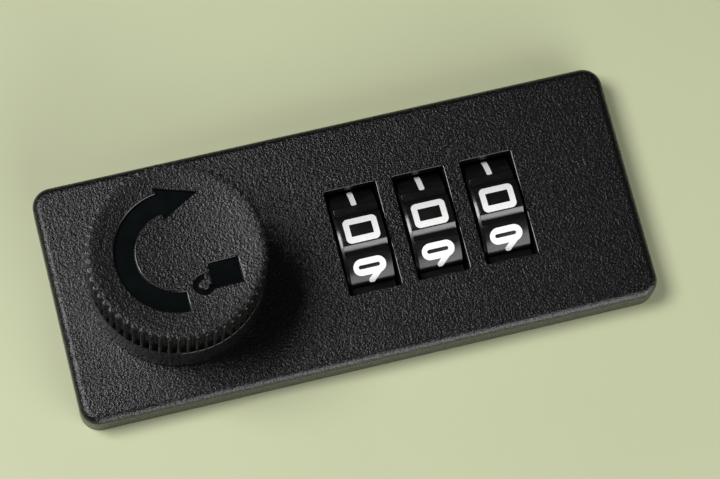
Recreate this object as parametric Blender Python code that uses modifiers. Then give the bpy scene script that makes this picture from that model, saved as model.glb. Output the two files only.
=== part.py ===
"""Panel-mounted combination knob lock: three number wheels, a quarter-turn knob and a rear cam.

Frame: origin at the centre of the face plate's back face, which bears on the panel. +X runs from
the knob to the wheels, +Y is the top of the digits, +Z points out of the panel at the user.
"""

import math

import bmesh
import bpy
from mathutils import Matrix, Vector

MM = 0.001
GAP = 0.3 * MM

# Face plate
PLATE_LENGTH = 70.0 * MM
PLATE_WIDTH = 29.2 * MM
PLATE_THICKNESS = 4.0 * MM
PLATE_CORNER_RADIUS = 2.3 * MM
PLATE_EDGE_FILLET = 1.0 * MM
CASE_SEAT_DEPTH = 0.4 * MM

# Knob and rotor, on one axis
KNOB_X = -20.57 * MM
KNOB_RADIUS = 10.45 * MM
KNOB_TOP = 17.4 * MM
KNOB_SKIRT_HEIGHT = 6.3 * MM
KNURL_TEETH = 60
KNURL_DEPTH = 0.4 * MM
ENGRAVING_DEPTH = 0.4 * MM
LOCK_SIGN_HALF_LENGTH = 1.7 * MM
LOCK_SIGN_HALF_WIDTH = 1.5 * MM
ROTOR_SHANK_RADIUS = 4.5 * MM
ROTOR_FLANGE_RADIUS = 7.8 * MM
ROTOR_HEAD_FLATS = 6.4 * MM
THRUST_WASHER_THICKNESS = 0.5 * MM
ROTOR_TAIL_FLATS = 5.6 * MM
ROTOR_END = -21.0 * MM
QUARTER_TURN = math.pi / 2

# Number wheels
WHEEL_COUNT = 3
WHEEL_PITCH = 8.35 * MM
WHEELS_CENTRE_X = 10.35 * MM
WHEEL_WIDTH = 5.4 * MM
WHEEL_RADIUS = 7.9 * MM
WHEEL_PROUD = 1.2 * MM
WHEEL_AXIS_Z = PLATE_THICKNESS + WHEEL_PROUD - WHEEL_RADIUS
WHEEL_CHAMFER = 0.35 * MM
DIGITS = 10
DIGIT_STEP = 2 * math.pi / DIGITS
PAD_HALF_ANGLE = math.radians(13.1)
INDEX_ANGLE = math.radians(7.0)
GROOVE_DEPTH = 0.5 * MM
WINDOW_WIDTH = 6.26 * MM
WINDOW_HALF_LENGTH = 6.5 * MM

# Code sleeves, one inside each wheel, on a common axle
AXLE_RADIUS = 1.45 * MM
BARREL_RADIUS = 3.0 * MM
GATE_DISC_RADIUS = 5.2 * MM
GATE_DISC_THICKNESS = 0.6 * MM
GATE_WIDTH = 2.1 * MM
GATE_DISC_OFFSET = 1.16 * MM
FIN_OFFSET = 0.28 * MM
FIN_THICKNESS = 0.6 * MM
FIN_TIP_RADIUS = 3.6 * MM
SPLINE_TIP_RADIUS = 3.95 * MM
SPLINE_ROOM_RADIUS = 4.3 * MM
SPLINE_TOOTH_HALF_ANGLE = math.radians(6.5)
SPLINE_START = 2.8 * MM
SPLINE_LENGTH = 1.6 * MM
RESET_TRAVEL = 1.8 * MM

# Locking fence: a bar that a spiral on the rotor pushes along X
FENCE_TRAVEL = 1.76 * MM
SPIRAL_START_RADIUS = 4.6 * MM
CAM_DISC_TOP = -10.1 * MM
FENCE_BAR_TOP = -10.8 * MM
FENCE_BAR_BOTTOM = -11.7 * MM
FENCE_BAR_WIDTH = 5.0 * MM
FENCE_NOSE_WIDTH = 3.0 * MM
FENCE_SPRING_Y = 7.2 * MM
FENCE_SPRING_Z = -10.0 * MM

# Case behind the panel
CASE_HALF_LENGTH = 30.7 * MM
CASE_HALF_WIDTH = 11.5 * MM
CASE_WALL = 1.5 * MM
CASE_FLOOR = -12.0 * MM
CASE_BACK = -13.5 * MM
CASE_CORNER_RADIUS = 2.0 * MM
AXLE_WALL_WEST = -9.1 * MM
AXLE_WALL_EAST = 26.0 * MM
AXLE_WALL_THICKNESS = 1.2 * MM
CASE_SCREWS = [
    (-27.6 * MM, -8.3 * MM),
    (-27.6 * MM, 8.3 * MM),
    (26.0 * MM, -8.3 * MM),
    (26.0 * MM, 8.3 * MM),
]
SCREW_BOSS_RADIUS = 2.1 * MM
SCREW_SEAT_Z = -12.3 * MM
RESET_SLIDER_X = 24.3 * MM
RESET_SLIDER_THICKNESS = 1.3 * MM

# Clamp brackets that pull the plate against the panel
PANEL_THICKNESS = 2.1 * MM
CLAMP_POSITIONS = [-10.5 * MM, 27.4 * MM]
CLAMP_WIDTH = 5.0 * MM
CLAMP_SHEET = 1.0 * MM
CLAMP_BOSS_RADIUS = 2.4 * MM
CLAMP_BOSS_END = -15.5 * MM
CLAMP_FOOT_REACH = 16.4 * MM
CLAMP_LEG_Y = 12.2 * MM

# Cam
CAM_TOP = -14.5 * MM
CAM_THICKNESS = 2.0 * MM
CAM_REACH = 24.0 * MM
CAM_HUB_RADIUS = 6.5 * MM
CAM_TIP_HALF_WIDTH = 4.5 * MM
BOLT_LAND_START = 11.4 * MM
BOLT_LAND_DEPTH = 0.2 * MM


def clear_scene():
    for obj in list(bpy.data.objects):
        bpy.data.objects.remove(obj, do_unlink=True)


def new_collection(name):
    collection = bpy.data.collections.new(name)
    bpy.context.scene.collection.children.link(collection)
    return collection


def new_material(name, colour, roughness, metallic=0.0):
    material = bpy.data.materials.new(name)
    material.use_nodes = True
    shader = material.node_tree.nodes["Principled BSDF"]
    shader.inputs["Base Color"].default_value = (*colour, 1.0)
    shader.inputs["Roughness"].default_value = roughness
    shader.inputs["Metallic"].default_value = metallic
    return material


clear_scene()
PARTS = new_collection("combination_knob_lock")
CUTTERS = new_collection("cutters")

GRAINED_BLACK = new_material("grained_black", (0.022, 0.023, 0.024), 0.55)
KNOB_BLACK = new_material("knob_black", (0.030, 0.031, 0.031), 0.50)
WHEEL_BLACK = new_material("wheel_black", (0.012, 0.012, 0.013), 0.28)
CASE_PLASTIC = new_material("case_plastic", (0.035, 0.036, 0.038), 0.60)
ZINC_CAST = new_material("zinc_cast", (0.48, 0.49, 0.50), 0.40, 1.0)
STEEL = new_material("steel", (0.60, 0.60, 0.58), 0.30, 1.0)
SPRING_STEEL = new_material("spring_steel", (0.42, 0.43, 0.44), 0.25, 1.0)
BRASS = new_material("brass", (0.72, 0.52, 0.22), 0.30, 1.0)
NYLON = new_material("nylon", (0.72, 0.70, 0.64), 0.50)


# --- Modelling helpers -------------------------------------------------------------------------


def add_object(name, data, collection, location=(0, 0, 0)):
    obj = bpy.data.objects.new(name, data)
    obj.location = location
    collection.objects.link(obj)
    return obj


def finish_part(obj, material, smooth_angle=35):
    obj.data.materials.clear()
    obj.data.materials.append(material)
    if obj.type == "MESH":
        obj.data.shade_smooth()
        obj.data.set_sharp_from_angle(angle=math.radians(smooth_angle))
    return obj


def mark_cutter(obj):
    obj.hide_render = True
    obj.display_type = "WIRE"
    return obj


def boolean(obj, other, operation):
    modifier = obj.modifiers.new(f"{operation.lower()}_{other.name}", "BOOLEAN")
    modifier.operation = operation
    modifier.object = other
    modifier.solver = "EXACT"
    mark_cutter(other)
    return modifier


def cut(obj, *cutters):
    for cutter in cutters:
        boolean(obj, cutter, "DIFFERENCE")


def join(obj, *others):
    for other in others:
        boolean(obj, other, "UNION")


def mesh_from_bmesh(name, bm):
    bmesh.ops.recalc_face_normals(bm, faces=bm.faces)
    mesh = bpy.data.meshes.new(name)
    bm.to_mesh(mesh)
    bm.free()
    return mesh


def block_mesh(name, low, high):
    """A box between two corners."""
    bm = bmesh.new()
    bmesh.ops.create_cube(bm, size=1.0)
    size = Vector(high) - Vector(low)
    centre = (Vector(high) + Vector(low)) / 2
    bmesh.ops.scale(bm, vec=size, verts=bm.verts)
    bmesh.ops.translate(bm, vec=centre, verts=bm.verts)
    return mesh_from_bmesh(name, bm)


def block(name, low, high, collection=CUTTERS, location=(0, 0, 0)):
    return add_object(name, block_mesh(name, low, high), collection, location)


AXIS_TURNS = {
    "X": Matrix.Rotation(math.pi / 2, 4, "Y"),
    "Z": Matrix.Identity(4),
}


def rod(name, radius, start, end, axis="Z", segments=32, location=(0, 0, 0)):
    """A cylinder along an axis, from start to end on it."""
    bm = bmesh.new()
    bmesh.ops.create_cone(
        bm,
        cap_ends=True,
        segments=segments,
        radius1=radius,
        radius2=radius,
        depth=end - start,
        matrix=Matrix.Translation((0, 0, (start + end) / 2)),
    )
    bmesh.ops.transform(bm, matrix=AXIS_TURNS[axis], verts=bm.verts)
    return add_object(name, mesh_from_bmesh(name, bm), CUTTERS, location)


def turned(name, profile, steps, location=(0, 0, 0), ring=False, turn="Z"):
    """A profile of (radius, height) turned about Z or X. A ring profile is closed on itself."""
    bm = bmesh.new()
    verts = [bm.verts.new((radius, 0, height)) for radius, height in profile]
    for first, second in zip(verts, verts[1:]):
        bm.edges.new((first, second))
    if ring:
        bm.edges.new((verts[-1], verts[0]))
    mesh = bpy.data.meshes.new(name)
    bm.to_mesh(mesh)
    bm.free()
    obj = add_object(name, mesh, PARTS, location)
    if turn == "X":
        obj.rotation_euler = (0, math.pi / 2, 0)
    screw = obj.modifiers.new("turn", "SCREW")
    screw.axis = "Z"
    screw.angle = 2 * math.pi
    screw.steps = steps
    screw.render_steps = steps
    screw.use_merge_vertices = True
    screw.merge_threshold = 0.00001
    screw.use_smooth_shade = True
    return obj


def outline_mesh(name, outlines, start, end, chamfer=0.0):
    """Flat outlines, the first outside and the rest holes, made into a prism from start to end on Z."""
    curve = bpy.data.curves.new(name, "CURVE")
    curve.dimensions = "2D"
    curve.fill_mode = "BOTH"
    curve.extrude = (end - start) / 2 - chamfer
    curve.bevel_depth = chamfer
    curve.bevel_resolution = 0
    curve.offset = -chamfer
    for points in outlines:
        spline = curve.splines.new("POLY")
        spline.points.add(len(points) - 1)
        for place, (x, y) in zip(spline.points, points):
            place.co = (x, y, 0, 1)
        spline.use_cyclic_u = True
    guide = add_object(name, curve, CUTTERS)
    bpy.context.view_layer.update()
    evaluated = guide.evaluated_get(bpy.context.evaluated_depsgraph_get())
    mesh = bpy.data.meshes.new_from_object(evaluated)
    bpy.data.objects.remove(guide, do_unlink=True)
    bpy.data.curves.remove(curve)
    bm = bmesh.new()
    bm.from_mesh(mesh)
    bmesh.ops.remove_doubles(bm, verts=bm.verts, dist=0.000002)
    bmesh.ops.translate(bm, vec=(0, 0, (start + end) / 2), verts=bm.verts)
    bmesh.ops.recalc_face_normals(bm, faces=bm.faces)
    bm.to_mesh(mesh)
    bm.free()
    mesh.name = name
    return mesh


def prism(name, outlines, start, end, axis="Z", collection=CUTTERS, location=(0, 0, 0), chamfer=0.0):
    mesh = outline_mesh(name, outlines, start, end, chamfer)
    mesh.transform(AXIS_TURNS[axis])
    return add_object(name, mesh, collection, location)


def polar(radius, angle):
    return (radius * math.cos(angle), radius * math.sin(angle))


def arc(radius, start, end, steps, centre=(0, 0)):
    """Points on an arc, both ends included."""
    points = []
    for step in range(steps + 1):
        x, y = polar(radius, start + (end - start) * step / steps)
        points.append((centre[0] + x, centre[1] + y))
    return points


def coil(name, radius, wire_radius, start, end, turns, centre, material, points_per_turn=10):
    """A compression spring along X, with its first and last turn closed."""
    closed_turns = 0.9
    wire_pitch = 2.15 * wire_radius
    inner_start = start + wire_radius
    inner_end = end - wire_radius
    open_length = inner_end - inner_start - 2 * closed_turns * wire_pitch
    count = int(round(turns * points_per_turn))
    curve = bpy.data.curves.new(name, "CURVE")
    curve.dimensions = "3D"
    curve.bevel_depth = wire_radius
    curve.bevel_resolution = 1
    curve.use_fill_caps = True
    spline = curve.splines.new("POLY")
    spline.points.add(count)
    for index, place in enumerate(spline.points):
        turned_so_far = turns * index / count
        if turned_so_far < closed_turns:
            along = inner_start + wire_pitch * turned_so_far
        elif turned_so_far > turns - closed_turns:
            along = inner_end - wire_pitch * (turns - turned_so_far)
        else:
            share = (turned_so_far - closed_turns) / (turns - 2 * closed_turns)
            along = inner_start + closed_turns * wire_pitch + share * open_length
        angle = 2 * math.pi * turned_so_far
        place.co = (along, radius * math.cos(angle), radius * math.sin(angle), 1)
    obj = add_object(name, curve, PARTS, centre)
    curve.materials.append(material)
    return obj


def pan_screw(name, location, head_radius, head_height, shank_radius, length, slot_width=0.5 * MM):
    """A pan-head screw pointing up +Z, its head's bearing face at its origin, with a cross recess."""
    edge = 0.25 * head_height
    screw = turned(
        name,
        [
            (0, length),
            (shank_radius, length - shank_radius * 0.8),
            (shank_radius, 0),
            (head_radius, 0),
            (head_radius, -head_height + edge * 2),
            (head_radius - edge * 1.5, -head_height),
            (0, -head_height),
        ],
        16,
        location=location,
    )
    reach = head_radius * 0.62
    depth = head_height * 0.55
    low = -head_height - 1 * MM
    across = slot_width / 2
    arm_x = block(f"{name}_recess_x", (-reach, -across, low), (reach, across, -head_height + depth))
    arm_y = block(f"{name}_recess_y", (-across, -reach, low), (across, reach, -head_height + depth))
    for arm in (arm_x, arm_y):
        arm.location = location
    cut(screw, arm_x, arm_y)
    return finish_part(screw, STEEL)


def wheel_centre(index):
    return WHEELS_CENTRE_X + (index - (WHEEL_COUNT - 1) / 2) * WHEEL_PITCH


def gap_start(index):
    """Where the space on a wheel's knob side begins: the previous wheel's far face."""
    return wheel_centre(index) + WHEEL_WIDTH / 2 - WHEEL_PITCH


WHEELS = range(WHEEL_COUNT)


# --- Face plate --------------------------------------------------------------------------------


def make_face_plate():
    bm = bmesh.new()
    bmesh.ops.create_cube(bm, size=1.0)
    bmesh.ops.scale(bm, vec=(PLATE_LENGTH, PLATE_WIDTH, PLATE_THICKNESS), verts=bm.verts)
    bmesh.ops.translate(bm, vec=(0, 0, PLATE_THICKNESS / 2), verts=bm.verts)
    upright = [e for e in bm.edges if abs(e.verts[0].co.z - e.verts[1].co.z) > PLATE_THICKNESS / 2]
    bmesh.ops.bevel(
        bm, geom=upright, offset=PLATE_CORNER_RADIUS, segments=6, profile=0.5, affect="EDGES"
    )
    top = PLATE_THICKNESS - 0.01 * MM
    rim = [e for e in bm.edges if all(v.co.z > top for v in e.verts) and len(e.link_faces) == 2]
    bmesh.ops.bevel(
        bm, geom=rim, offset=PLATE_EDGE_FILLET, segments=4, profile=0.5, affect="EDGES"
    )
    plate = add_object("face_plate", mesh_from_bmesh("face_plate", bm), PARTS)
    seat_x = CASE_HALF_LENGTH + GAP
    seat_y = CASE_HALF_WIDTH + GAP
    cut(plate, block("case_seat", (-seat_x, -seat_y, -1 * MM), (seat_x, seat_y, CASE_SEAT_DEPTH)))
    cut(plate, rod("rotor_bore", ROTOR_SHANK_RADIUS + GAP, -5 * MM, 9 * MM, location=(KNOB_X, 0, 0)))
    for index in WHEELS:
        centre = wheel_centre(index)
        half = WINDOW_WIDTH / 2
        window = block(
            f"window_{index + 1}",
            (centre - half, -WINDOW_HALF_LENGTH, -3 * MM),
            (centre + half, WINDOW_HALF_LENGTH, PLATE_THICKNESS + 3 * MM),
        )
        wheel_room = rod(
            f"wheel_room_{index + 1}",
            WHEEL_RADIUS + 0.4 * MM,
            centre - half + 0.001 * MM,
            centre + half - 0.001 * MM,
            axis="X",
            segments=40,
            location=(0, 0, WHEEL_AXIS_Z),
        )
        cut(plate, window, wheel_room)
    disc_room = rod(
        "gate_disc_room",
        GATE_DISC_RADIUS + 0.5 * MM,
        gap_start(0) - 2.5 * MM,
        RESET_SLIDER_X + 1.5 * MM,
        axis="X",
        segments=32,
        location=(0, 0, WHEEL_AXIS_Z),
    )
    cut(plate, disc_room)
    for index, (x, y) in enumerate(CASE_SCREWS):
        pilot = rod(f"plate_pilot_{index + 1}", 1.3 * MM, -2 * MM, 2.9 * MM, segments=16)
        pilot.location = (x, y, 0)
        cut(plate, pilot)
    return finish_part(plate, GRAINED_BLACK, 30)


# --- Knob --------------------------------------------------------------------------------------


def arrow_outline():
    """An arc arrow that turns clockwise, about the knob's axis."""
    inner = 4.8 * MM
    outer = 7.1 * MM
    tail = math.radians(-90)
    neck = math.radians(-263)
    outside = arc(outer, tail, neck, 16)
    head = [(-0.98 * MM, 7.79 * MM), (3.74 * MM, 6.32 * MM), (-0.48 * MM, 4.0 * MM)]
    inside = arc(inner, neck, tail, 14)
    return outside + head + inside


def double_d(radius, flats, steps=8):
    """A circle with two flats facing +Y and -Y."""
    reach = math.asin(flats / 2 / radius)
    east = arc(radius, -reach, reach, steps)
    west = arc(radius, math.pi - reach, math.pi + reach, steps)
    return east + west


def make_knob():
    bottom = PLATE_THICKNESS + GAP
    skirt_top = bottom + KNOB_SKIRT_HEIGHT
    skirt = KNOB_RADIUS - 0.05 * MM
    knob = turned(
        "knob",
        [
            (0, KNOB_TOP),
            (KNOB_RADIUS - 0.8 * MM, KNOB_TOP),
            (KNOB_RADIUS - 0.25 * MM, KNOB_TOP - 0.25 * MM),
            (KNOB_RADIUS, KNOB_TOP - 0.8 * MM),
            (KNOB_RADIUS, skirt_top),
            (skirt, skirt_top),
            (skirt, bottom + 0.4 * MM),
            (skirt - 0.4 * MM, bottom),
            (8.3 * MM, bottom),
            (8.3 * MM, bottom + 0.8 * MM),
            (0, bottom + 0.8 * MM),
        ],
        KNURL_TEETH,
        location=(KNOB_X, 0, 0),
    )
    knurl_outline = []
    for tooth in range(KNURL_TEETH):
        middle = 2 * math.pi * tooth / KNURL_TEETH
        step = 2 * math.pi / KNURL_TEETH
        knurl_outline.append(polar(KNOB_RADIUS + 0.06 * MM, middle - 0.30 * step))
        knurl_outline.append(polar(KNOB_RADIUS + 0.06 * MM, middle + 0.30 * step))
        knurl_outline.append(polar(KNOB_RADIUS - KNURL_DEPTH, middle + 0.50 * step))
    surround = arc(KNOB_RADIUS + 3 * MM, 0, 2 * math.pi, 16)[:-1]
    knurl = prism(
        "knurl_grooves",
        [surround, knurl_outline],
        skirt_top,
        KNOB_TOP + 2 * MM,
        location=(KNOB_X, 0, 0),
    )
    cut(knob, knurl)
    socket_top = 12.6 * MM
    socket = prism(
        "knob_socket",
        [double_d(ROTOR_SHANK_RADIUS - 0.3 * MM + GAP, ROTOR_HEAD_FLATS + 2 * GAP)],
        bottom - 2 * MM,
        socket_top,
        location=(KNOB_X, 0, 0),
    )
    thread = rod("knob_thread", 1.5 * MM, socket_top - 1 * MM, 16.2 * MM, segments=20)
    thread.location = (KNOB_X, 0, 0)
    floor = KNOB_TOP - ENGRAVING_DEPTH
    arrow = prism("arrow", [arrow_outline()], floor, KNOB_TOP + 1 * MM, location=(KNOB_X, 0, 0))
    lock_low = (-LOCK_SIGN_HALF_LENGTH, -LOCK_SIGN_HALF_WIDTH, floor)
    lock_high = (LOCK_SIGN_HALF_LENGTH, LOCK_SIGN_HALF_WIDTH, KNOB_TOP + 1 * MM)
    lock_body = block("lock_sign_body", lock_low, lock_high)
    lock_body.location = (KNOB_X + 4.86 * MM, -3.63 * MM, 0)
    hook_start = math.radians(-15)
    hook_end = math.radians(-285)
    hook = arc(1.2 * MM, hook_start, hook_end, 10) + arc(0.65 * MM, hook_end, hook_start, 8)
    hook_object = prism("lock_sign_shackle", [hook], floor, KNOB_TOP + 1 * MM)
    hook_object.location = (KNOB_X + 2.15 * MM, -4.45 * MM, 0)
    cut(knob, socket, thread, arrow, lock_body, hook_object)
    return finish_part(knob, KNOB_BLACK, 30)


def make_knob_washer():
    low = PLATE_THICKNESS + GAP
    washer = turned(
        "knob_washer",
        [(8.0 * MM, low + 0.5 * MM), (8.0 * MM, low), (5.0 * MM, low), (5.0 * MM, low + 0.5 * MM)],
        32,
        location=(KNOB_X, 0, 0),
        ring=True,
    )
    return finish_part(washer, NYLON)


# --- Rotor: joins knob, fence drive and cam ----------------------------------------------------


def spiral_radius(angle):
    """The pocket's radius in the rotor: it grows by the fence's travel over a quarter turn."""
    return SPIRAL_START_RADIUS + FENCE_TRAVEL * angle / QUARTER_TURN


def make_rotor():
    head_top = 12.3 * MM
    head = ROTOR_SHANK_RADIUS - 0.3 * MM
    flange_top = CASE_SEAT_DEPTH - 2 * GAP - THRUST_WASHER_THICKNESS
    body = 4.0 * MM
    bore = 1.55 * MM
    stud = 2.9 * MM
    counterbore = 2.2 * MM
    rotor = turned(
        "rotor",
        [
            (bore, head_top),
            (head, head_top),
            (head, 4.2 * MM),
            (ROTOR_SHANK_RADIUS, 4.2 * MM),
            (ROTOR_SHANK_RADIUS, flange_top),
            (ROTOR_FLANGE_RADIUS, flange_top),
            (ROTOR_FLANGE_RADIUS, flange_top - 1.6 * MM),
            (body, flange_top - 1.6 * MM),
            (body, CAM_DISC_TOP),
            (ROTOR_FLANGE_RADIUS, CAM_DISC_TOP),
            (ROTOR_FLANGE_RADIUS, CASE_FLOOR + GAP),
            (body, CASE_FLOOR + GAP),
            (body, CAM_TOP + GAP),
            (3.6 * MM, CAM_TOP + GAP),
            (3.6 * MM, CAM_TOP - CAM_THICKNESS),
            (stud, CAM_TOP - CAM_THICKNESS),
            (stud, ROTOR_END + 0.4 * MM),
            (stud - 0.4 * MM, ROTOR_END),
            (counterbore, ROTOR_END),
            (counterbore, -6.0 * MM),
            (bore, -6.0 * MM),
        ],
        28,
        location=(KNOB_X, 0, 0),
        ring=True,
    )
    margin = math.radians(22)
    start = -margin
    end = QUARTER_TURN + margin
    steps = 24
    spiral = []
    for step in range(steps + 1):
        angle = start + (end - start) * step / steps
        spiral.append(polar(spiral_radius(angle), angle))
    rim = arc(ROTOR_FLANGE_RADIUS + 1.5 * MM, end, start, 16)
    pocket = prism(
        "spiral_pocket",
        [spiral + rim],
        CASE_FLOOR - 0.1 * MM,
        CAM_DISC_TOP + 0.5 * MM,
        location=(KNOB_X, 0, 0),
    )
    cut(rotor, pocket)
    reach = 6 * MM
    for side in (-1, 1):
        head_flat = block(
            f"head_flat_{side}",
            (-reach, min(side * ROTOR_HEAD_FLATS / 2, side * reach), 4.5 * MM),
            (reach, max(side * ROTOR_HEAD_FLATS / 2, side * reach), head_top + 1 * MM),
            location=(KNOB_X, 0, 0),
        )
        tail_flat = block(
            f"tail_flat_{side}",
            (-reach, min(side * ROTOR_TAIL_FLATS / 2, side * reach), ROTOR_END - 1 * MM),
            (reach, max(side * ROTOR_TAIL_FLATS / 2, side * reach), CAM_TOP + GAP),
            location=(KNOB_X, 0, 0),
        )
        cut(rotor, head_flat, tail_flat)
    return finish_part(rotor, ZINC_CAST)


def make_thrust_washer():
    top = CASE_SEAT_DEPTH - GAP
    bottom = top - THRUST_WASHER_THICKNESS
    washer = turned(
        "thrust_washer",
        [(7.4 * MM, top), (7.4 * MM, bottom), (4.9 * MM, bottom), (4.9 * MM, top)],
        32,
        location=(KNOB_X, 0, 0),
        ring=True,
    )
    return finish_part(washer, SPRING_STEEL)


def make_knob_screw():
    return pan_screw("knob_screw", (KNOB_X, 0, -6.3 * MM), 1.9 * MM, 1.5 * MM, 1.2 * MM, 21.5 * MM)


def make_cam():
    """A flat lever: a round hub that narrows to a square-ended tongue pointing away from the wheels."""
    tip_x = -CAM_REACH
    tangent = math.asin(CAM_TIP_HALF_WIDTH / CAM_HUB_RADIUS)
    hub = arc(CAM_HUB_RADIUS, -math.pi + tangent, math.pi - tangent, 24)
    corner = 1.2 * MM
    tip_centre = tip_x + corner
    corner_y = CAM_TIP_HALF_WIDTH - corner
    upper_tip = arc(corner, math.pi / 2, math.pi, 4, (tip_centre, corner_y))
    lower_tip = arc(corner, math.pi, 1.5 * math.pi, 4, (tip_centre, -corner_y))
    hole = double_d(3.6 * MM + GAP, ROTOR_TAIL_FLATS + 2 * GAP)
    cam = prism(
        "cam",
        [hub + upper_tip + lower_tip, hole],
        CAM_TOP - CAM_THICKNESS,
        CAM_TOP,
        collection=PARTS,
        location=(KNOB_X, 0, 0),
    )
    edge = CAM_TIP_HALF_WIDTH + 1 * MM
    bolt_land = block(
        "bolt_land",
        (tip_x - 1 * MM, -edge, CAM_TOP - BOLT_LAND_DEPTH),
        (-BOLT_LAND_START, edge, CAM_TOP + 1 * MM),
        location=(KNOB_X, 0, 0),
    )
    cut(cam, bolt_land)
    return finish_part(cam, STEEL)


def make_cam_washer():
    """A toothed lock washer."""
    teeth = 12
    outer = []
    for tooth in range(teeth):
        middle = 2 * math.pi * tooth / teeth
        step = 2 * math.pi / teeth
        outer.append(polar(5.2 * MM, middle - 0.22 * step))
        outer.append(polar(5.2 * MM, middle + 0.22 * step))
        outer.append(polar(4.5 * MM, middle + 0.34 * step))
        outer.append(polar(4.5 * MM, middle + 0.66 * step))
    hole = arc(3.25 * MM, 0, 2 * math.pi, 32)[:-1]
    top = CAM_TOP - CAM_THICKNESS - GAP
    washer = prism(
        "cam_washer", [outer, hole], top - 0.6 * MM, top, collection=PARTS, location=(KNOB_X, 0, 0)
    )
    return finish_part(washer, SPRING_STEEL)


def make_cam_nut():
    hexagon = [polar(5.2 * MM, math.pi / 3 * side) for side in range(6)]
    hole = arc(3.2 * MM, 0, 2 * math.pi, 32)[:-1]
    top = CAM_TOP - CAM_THICKNESS - 1.2 * MM
    nut = prism(
        "cam_nut",
        [hexagon, hole],
        top - 2.6 * MM,
        top,
        collection=PARTS,
        location=(KNOB_X, 0, 0),
        chamfer=0.25 * MM,
    )
    return finish_part(nut, STEEL)


# --- Number wheels and code sleeves ------------------------------------------------------------


def wheel_outline():
    """Ten pads with V grooves between them, from -Z towards +Y. The pad on top leans towards +Y."""
    points = []
    for digit in range(DIGITS):
        middle = digit * DIGIT_STEP - INDEX_ANGLE
        points += arc(WHEEL_RADIUS, middle - PAD_HALF_ANGLE, middle + PAD_HALF_ANGLE, 3)
        points.append(polar(WHEEL_RADIUS - GROOVE_DEPTH, middle + DIGIT_STEP / 2))
    return points


def spline_hole():
    """The wheel's splined hole: ten slots with ten teeth between them."""
    points = []
    slot = DIGIT_STEP / 2 - SPLINE_TOOTH_HALF_ANGLE
    for digit in range(DIGITS):
        middle = digit * DIGIT_STEP
        points += arc(SPLINE_ROOM_RADIUS, middle - slot, middle + slot, 2)
        points += arc(BARREL_RADIUS + GAP, middle + slot, middle + DIGIT_STEP - slot, 1)
    return points


def spline_gear():
    """The sleeve's ten spline teeth."""
    points = []
    root = BARREL_RADIUS - 0.3 * MM
    for digit in range(DIGITS):
        middle = digit * DIGIT_STEP
        tooth = SPLINE_TOOTH_HALF_ANGLE
        points += arc(SPLINE_TIP_RADIUS, middle - tooth, middle + tooth, 1)
        points += arc(root, middle + tooth, middle + DIGIT_STEP - tooth, 1)
    return points


def make_wheel(index):
    name = f"number_wheel_{index + 1}"
    place = (wheel_centre(index), 0, WHEEL_AXIS_Z)
    half = WHEEL_WIDTH / 2
    wheel = prism(
        name, [wheel_outline()], -half, half, axis="X", collection=PARTS, location=place,
        chamfer=WHEEL_CHAMFER,
    )
    spline_start = -half + SPLINE_START
    spline_end = spline_start + SPLINE_LENGTH
    sleeve_room = rod(
        f"{name}_sleeve_room", SPLINE_ROOM_RADIUS + 0.05 * MM, -half - 1 * MM, spline_start,
        axis="X", location=place,
    )
    spline = prism(
        f"{name}_spline", [spline_hole()], spline_start - 0.5 * MM, spline_end + 0.5 * MM,
        axis="X", location=place,
    )
    disc_room = rod(
        f"{name}_disc_room", GATE_DISC_RADIUS + 0.4 * MM, spline_end, half + 1 * MM,
        axis="X", segments=28, location=place,
    )
    cut(wheel, sleeve_room, spline, disc_room)
    return finish_part(wheel, WHEEL_BLACK, 25)


def make_code_sleeve(index):
    """A splined tube with a gate disc. Its spline moves out of the wheel's when it slides to -X."""
    name = f"code_sleeve_{index + 1}"
    start = gap_start(index) + GATE_DISC_OFFSET
    place = (start, 0, WHEEL_AXIS_Z)
    length = WHEEL_PITCH - GAP
    if index == WHEEL_COUNT - 1:
        length = RESET_SLIDER_X - RESET_SLIDER_THICKNESS / 2 - GAP - start
    sleeve = turned(
        name,
        [
            (0, length),
            (BARREL_RADIUS, length),
            (BARREL_RADIUS, GATE_DISC_THICKNESS),
            (GATE_DISC_RADIUS, GATE_DISC_THICKNESS),
            (GATE_DISC_RADIUS, 0),
            (0, 0),
        ],
        28,
        location=place,
        turn="X",
    )
    wheel_face = wheel_centre(index) - WHEEL_WIDTH / 2
    teeth_start = wheel_face + SPLINE_START + 0.1 * MM - start
    teeth = prism(
        f"{name}_teeth", [spline_gear()], teeth_start, teeth_start + SPLINE_LENGTH - 0.4 * MM,
        axis="X", location=place,
    )
    join(sleeve, teeth)
    bore = rod(f"{name}_bore", AXLE_RADIUS + GAP, -1 * MM, length + 1 * MM, axis="X", location=place)
    gate = block(
        f"{name}_gate",
        (-0.5 * MM, -GATE_WIDTH / 2, -GATE_DISC_RADIUS - 1 * MM),
        (GATE_DISC_THICKNESS - 0.001 * MM, GATE_WIDTH / 2, -BARREL_RADIUS - 0.2 * MM),
        location=place,
    )
    gate_clear = block(
        f"{name}_gate_clear",
        (GATE_DISC_THICKNESS - 0.2 * MM, -GATE_WIDTH / 2, -GATE_DISC_RADIUS - 1 * MM),
        (GATE_DISC_THICKNESS + 0.3 * MM, GATE_WIDTH / 2, -BARREL_RADIUS - 0.2 * MM),
        location=place,
    )
    cut(sleeve, bore, gate, gate_clear)
    return finish_part(sleeve, BRASS)


def make_axle():
    start = AXLE_WALL_WEST - 0.8 * MM
    end = AXLE_WALL_EAST + 0.8 * MM
    chamfer = 0.25 * MM
    length = end - start
    axle = turned(
        "wheel_axle",
        [
            (0, length),
            (AXLE_RADIUS - chamfer, length),
            (AXLE_RADIUS, length - chamfer),
            (AXLE_RADIUS, chamfer),
            (AXLE_RADIUS - chamfer, 0),
            (0, 0),
        ],
        32,
        location=(start, 0, WHEEL_AXIS_Z),
        turn="X",
    )
    return finish_part(axle, STEEL)


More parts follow.
